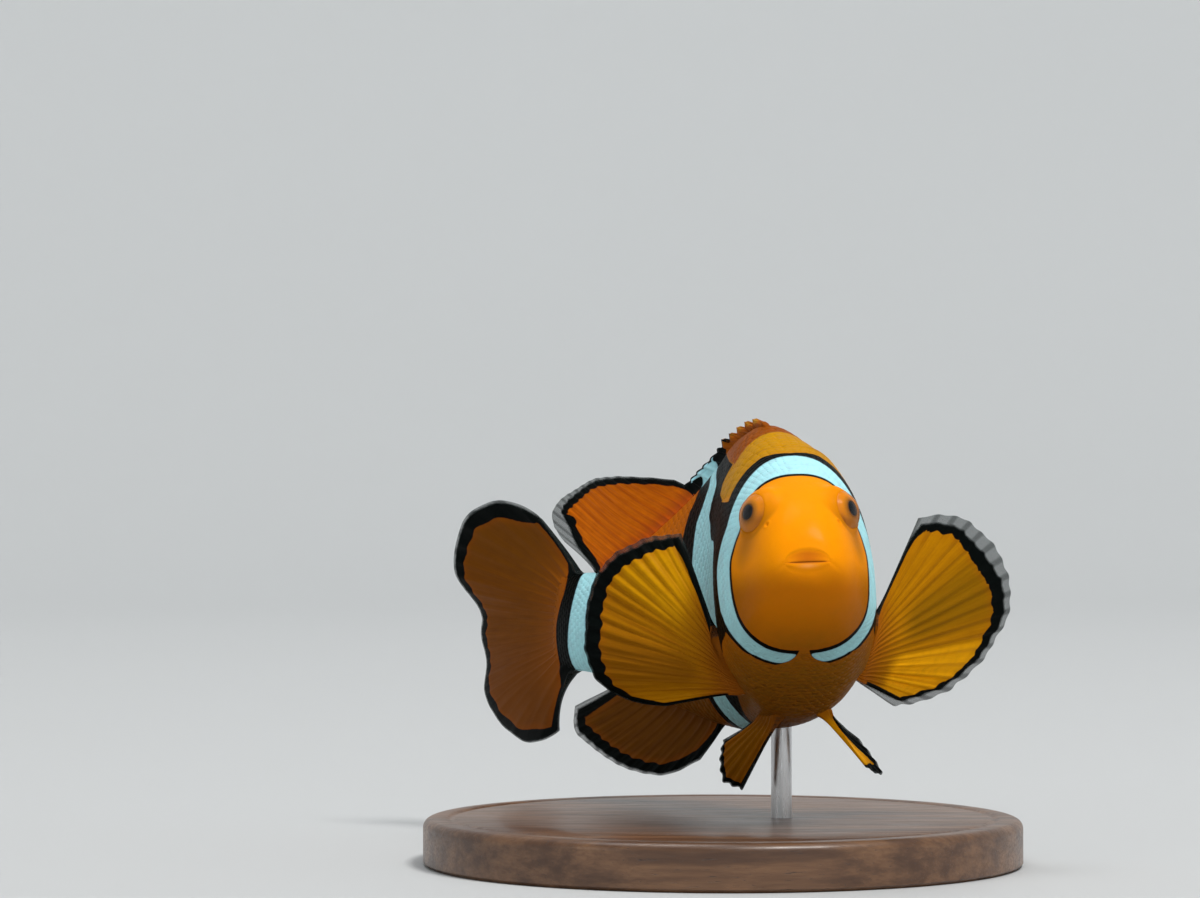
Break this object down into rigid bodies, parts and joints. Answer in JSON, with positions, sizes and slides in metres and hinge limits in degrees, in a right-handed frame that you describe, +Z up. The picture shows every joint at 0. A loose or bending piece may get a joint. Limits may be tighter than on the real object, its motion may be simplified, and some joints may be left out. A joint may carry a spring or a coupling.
{
  "type": "clownfish",
  "caption": "Life-size orange clownfish with black-edged white bars, swimming towards the viewer and turning, held above a round wooden base by a short rod.",
  "frame": {"origin": "centre of the display base's underside, on the floor", "axes": "+Z up; the fish looks along -Y, its left side towards +X and its tail bending towards -X and +Y"},
  "size_m": [0.058, 0.0699, 0.0429],
  "materials": {
    "head_skin": "satin painted skin, orange",
    "trunk_skin": "satin painted skin, orange and black with white bars",
    "stalk_skin": "satin painted skin, white bar and black",
    "eye_glaze_left": "clear gloss over a dark eye",
    "eye_glaze_right": "clear gloss over a dark eye",
    "dorsal_front_skin": "satin membrane, orange edged black",
    "dorsal_rear_skin": "satin membrane, orange edged black",
    "anal_skin": "satin membrane, orange edged black",
    "caudal_skin": "satin membrane, orange edged black",
    "pectoral_left_skin": "satin membrane, orange edged black",
    "pectoral_right_skin": "satin membrane, orange edged black",
    "pelvic_left_skin": "satin membrane, orange edged black",
    "pelvic_right_skin": "satin membrane, orange edged black",
    "base_walnut": "oiled walnut, satin",
    "rod_steel": "brushed"
  },
  "bodies": {
    "root": {"head": "head_skin", "trunk": "trunk_skin", "tail_stalk": "stalk_skin", "eye_left": "eye_glaze_left", "eye_right": "eye_glaze_right", "fin_dorsal_front": "dorsal_front_skin", "fin_dorsal_rear": "dorsal_rear_skin", "fin_anal": "anal_skin", "fin_caudal": "caudal_skin", "fin_pectoral_left": "pectoral_left_skin", "fin_pectoral_right": "pectoral_right_skin", "fin_pelvic_left": "pelvic_left_skin", "fin_pelvic_right": "pelvic_right_skin", "stand_base": "base_walnut", "stand_rod": "rod_steel"}
  },
  "joints": []
}
